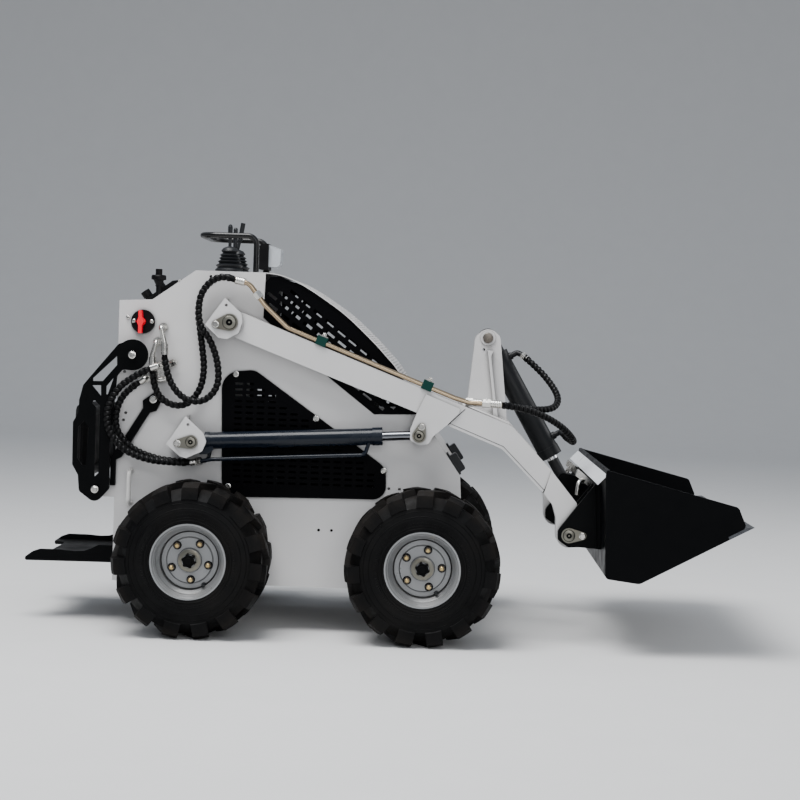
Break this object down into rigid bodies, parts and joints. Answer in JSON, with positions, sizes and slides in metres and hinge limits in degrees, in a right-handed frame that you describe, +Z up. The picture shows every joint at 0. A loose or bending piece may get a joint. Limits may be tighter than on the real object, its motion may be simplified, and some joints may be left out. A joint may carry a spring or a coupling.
{
  "type": "skid steer loader",
  "caption": "Compact stand-on skid steer loader with raised lift arms, a tilted bucket, rear driver's platform and rubber tyres.",
  "frame": {"origin": "on the ground under the middle of the overall length, on the centre plane", "axes": "+X forward to the bucket, +Y to the driver's left, +Z up"},
  "size_m": [2.184, 1.06, 1.2581],
  "materials": {
    "paint": "semi gloss",
    "hood_paint": "semi gloss, perforated",
    "black_steel": "satin",
    "black_mesh": "satin",
    "cast": "rough",
    "barrel_paint": "semi gloss",
    "tilt_paint": "semi gloss",
    "chrome": "polished",
    "zinc": "zinc plated",
    "pipe_steel": "yellow zinc plated",
    "rim_paint": "satin",
    "tyre": "matt",
    "hose": "spiral wrapped",
    "rubber": "matt",
    "pad": "grained",
    "green_plastic": "matt",
    "red_plastic": "gloss",
    "black_plastic": "matt",
    "lens": "clear",
    "white_rod": "gloss",
    "worn_steel": "worn"
  },
  "bodies": {
    "chassis": {"lower_tub": "paint", "top_deck": "paint", "hood_grille": "hood_paint", "hood_sides": "black_mesh", "side_grilles": "black_mesh", "engine_block": "cast", "pivot_brackets": "paint", "wheel_motors": "cast", "handlebar": "black_steel", "control_levers": "rubber", "work_lamp": "black_plastic", "lamp_lens": "lens", "isolator_switch": "black_plastic", "isolator_key": "red_plastic", "console_panel": "black_plastic", "tie_down_loops": "white_rod", "bump_stops": "rubber", "rear_guard": "black_steel", "thigh_pad": "pad", "step_platform": "black_steel", "hose_fittings": "zinc", "side_plate_left": "paint", "side_plate_right": "paint", "arm_hose_outer": "hose", "arm_hose_inner": "hose", "lift_hose_outer": "hose", "lift_hose_inner": "hose"},
    "arms": {"arm_left": "paint", "arm_right": "paint", "arm_pins": "zinc", "cross_beam": "paint", "tilt_tower": "paint", "arm_pipes": "pipe_steel", "pipe_clamps": "green_plastic", "tilt_hose_outer": "hose", "tilt_hose_inner": "hose"},
    "lift_barrel_left": {"lift_barrel_left": "barrel_paint"},
    "lift_barrel_right": {"lift_barrel_right": "barrel_paint"},
    "lift_rod_left": {"lift_rod_left": "chrome"},
    "lift_rod_right": {"lift_rod_right": "chrome"},
    "tilt_barrel": {"tilt_barrel": "tilt_paint"},
    "tilt_rod": {"tilt_rod": "chrome"},
    "coupler": {"coupler_frame": "black_steel", "coupler_latches": "zinc", "bucket": "black_steel", "bucket_edge": "worn_steel", "bucket_lip": "worn_steel"},
    "wheel_front_left": {"tyre_front_left": "tyre", "rim_front_left": "rim_paint", "wheel_disc_front_left": "rim_paint"},
    "wheel_rear_left": {"tyre_rear_left": "tyre", "rim_rear_left": "rim_paint", "wheel_disc_rear_left": "rim_paint"},
    "wheel_front_right": {"tyre_front_right": "tyre", "rim_front_right": "rim_paint", "wheel_disc_front_right": "rim_paint"},
    "wheel_rear_right": {"tyre_rear_right": "tyre", "rim_rear_right": "rim_paint", "wheel_disc_rear_right": "rim_paint"}
  },
  "joints": [
    {"name": "arm_lift", "type": "hinge", "parent": "chassis", "child": "arms", "pos_m": [-0.462, 0, 0.933], "axis": [0, -1, 0], "range_deg": [-7.8, 65], "deforming": ["arm_hose_outer", "arm_hose_inner"]},
    {"name": "bucket_tilt", "type": "hinge", "parent": "arms", "child": "coupler", "pos_m": [0.57, 0, 0.332], "axis": [0, 1, 0], "range_deg": [-8, 90]},
    {"name": "tilt_barrel_swing", "type": "hinge", "parent": "arms", "child": "tilt_barrel", "pos_m": [0.317, 0, 0.912], "axis": [0, 1, 0], "range_deg": [-6.3, 1.02], "deforming": ["tilt_hose_outer", "tilt_hose_inner"]},
    {"name": "tilt_rod_slide", "type": "slide", "parent": "tilt_barrel", "child": "tilt_rod", "axis": [0.5024, 0, -0.8646], "range_m": [-0.0168, 0.1792]},
    {"name": "lift_barrel_left_swing", "type": "hinge", "parent": "chassis", "child": "lift_barrel_left", "pos_m": [-0.567, 0.328, 0.572], "axis": [0, -1, 0], "range_deg": [-6.11, 47.25]},
    {"name": "lift_rod_left_slide", "type": "slide", "parent": "lift_barrel_left", "child": "lift_rod_left", "axis": [0.9982, 0, 0.0601], "range_m": [-0.0396, 0.3225]},
    {"name": "wheel_front_left_spin", "type": "hinge", "parent": "chassis", "child": "wheel_front_left", "pos_m": [0.138, 0.41, 0.23], "axis": [0, 1, 0], "continuous": true},
    {"name": "wheel_rear_left_spin", "type": "hinge", "parent": "chassis", "child": "wheel_rear_left", "pos_m": [-0.547, 0.41, 0.23], "axis": [0, 1, 0], "continuous": true},
    {"name": "lift_barrel_right_swing", "type": "hinge", "parent": "chassis", "child": "lift_barrel_right", "pos_m": [-0.567, -0.328, 0.572], "axis": [0, -1, 0], "range_deg": [-6.11, 47.25], "deforming": ["lift_hose_outer", "lift_hose_inner"]},
    {"name": "lift_rod_right_slide", "type": "slide", "parent": "lift_barrel_right", "child": "lift_rod_right", "axis": [0.9982, 0, 0.0601], "range_m": [-0.0396, 0.3225]},
    {"name": "wheel_front_right_spin", "type": "hinge", "parent": "chassis", "child": "wheel_front_right", "pos_m": [0.138, -0.41, 0.23], "axis": [0, 1, 0], "continuous": true},
    {"name": "wheel_rear_right_spin", "type": "hinge", "parent": "chassis", "child": "wheel_rear_right", "pos_m": [-0.547, -0.41, 0.23], "axis": [0, 1, 0], "continuous": true}
  ],
  "couplings": [
    {"joint": "tilt_barrel_swing", "follows": "bucket_tilt", "ratio": -0.0645},
    {"joint": "tilt_rod_slide", "follows": "bucket_tilt", "m_per_rad": 0.11347},
    {"joint": "lift_barrel_left_swing", "follows": "arm_lift", "ratio": 0.7192},
    {"joint": "lift_rod_left_slide", "follows": "arm_lift", "m_per_rad": 0.28335},
    {"joint": "lift_barrel_right_swing", "follows": "arm_lift", "ratio": 0.7192},
    {"joint": "lift_rod_right_slide", "follows": "arm_lift", "m_per_rad": 0.28335}
  ]
}
